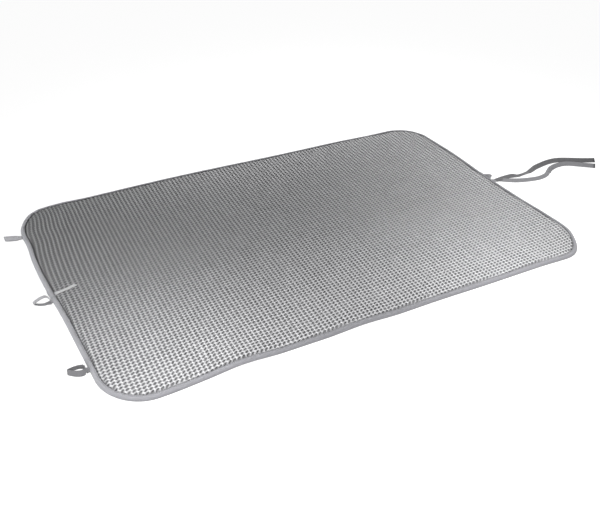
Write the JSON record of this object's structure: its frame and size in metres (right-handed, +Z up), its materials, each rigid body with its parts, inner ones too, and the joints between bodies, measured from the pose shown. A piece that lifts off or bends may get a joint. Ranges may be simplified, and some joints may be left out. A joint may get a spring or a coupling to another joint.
{
  "type": "steam ironing pad",
  "caption": "Rectangular spacer-fabric ironing pad with rounded corners, a folded tape binding, tape loops on one short edge and a doubled tie on the other.",
  "frame": {"origin": "on the table, under the middle of the mat, at the centre of its 100 by 65 cm outline", "axes": "+X along the mat from the loops to the ties, +Y to the far long edge, +Z up from the table"},
  "size_m": [1.3231, 0.6629, 0.0184],
  "materials": {
    "mesh_face": "light grey polyester knit with an open mesh",
    "spacer_yarn": "upright polyester monofilament pile",
    "mesh_underside": "grey polyester knit, closed",
    "binding_tape": "violet-grey woven polyester tape",
    "loop_tape": "grey woven polyester tape",
    "label_ribbon": "pale satin ribbon, bare",
    "tie_tape": "grey woven polyester tape"
  },
  "bodies": {
    "mat": {"upper_mesh_face": "mesh_face", "spacer_yarn_core": "spacer_yarn", "lower_mesh_face": "mesh_underside", "edge_binding": "binding_tape", "tie_sewn_end": "tie_tape", "tie_slack": "tie_tape", "first_tie": "tie_tape", "second_tie": "tie_tape"},
    "far_loop_body": {"far_loop": "loop_tape"},
    "middle_loop_body": {"middle_loop": "loop_tape"},
    "near_loop_body": {"near_loop": "loop_tape"},
    "label_body": {"blank_label": "label_ribbon"}
  },
  "joints": [
    {"name": "far_loop_root", "type": "hinge", "parent": "mat", "child": "far_loop_body", "pos_m": [-0.49944, 0.22706, 0.0032], "axis": [0.0425, 0.9991, 0], "range_deg": [-100, 100]},
    {"name": "middle_loop_root", "type": "hinge", "parent": "mat", "child": "middle_loop_body", "pos_m": [-0.50348, -0.01226, 0.0032], "axis": [-0.0401, 0.9992, 0], "range_deg": [-110, 90]},
    {"name": "near_loop_root", "type": "hinge", "parent": "mat", "child": "near_loop_body", "pos_m": [-0.50145, -0.22327, 0.0032], "axis": [0, 1, 0], "range_deg": [-100, 85]},
    {"name": "label_root", "type": "hinge", "parent": "mat", "child": "label_body", "pos_m": [-0.49389, 0.00103, 0.00735], "axis": [0.0383, -0.9993, 0], "range_deg": [0, 160]}
  ]
}
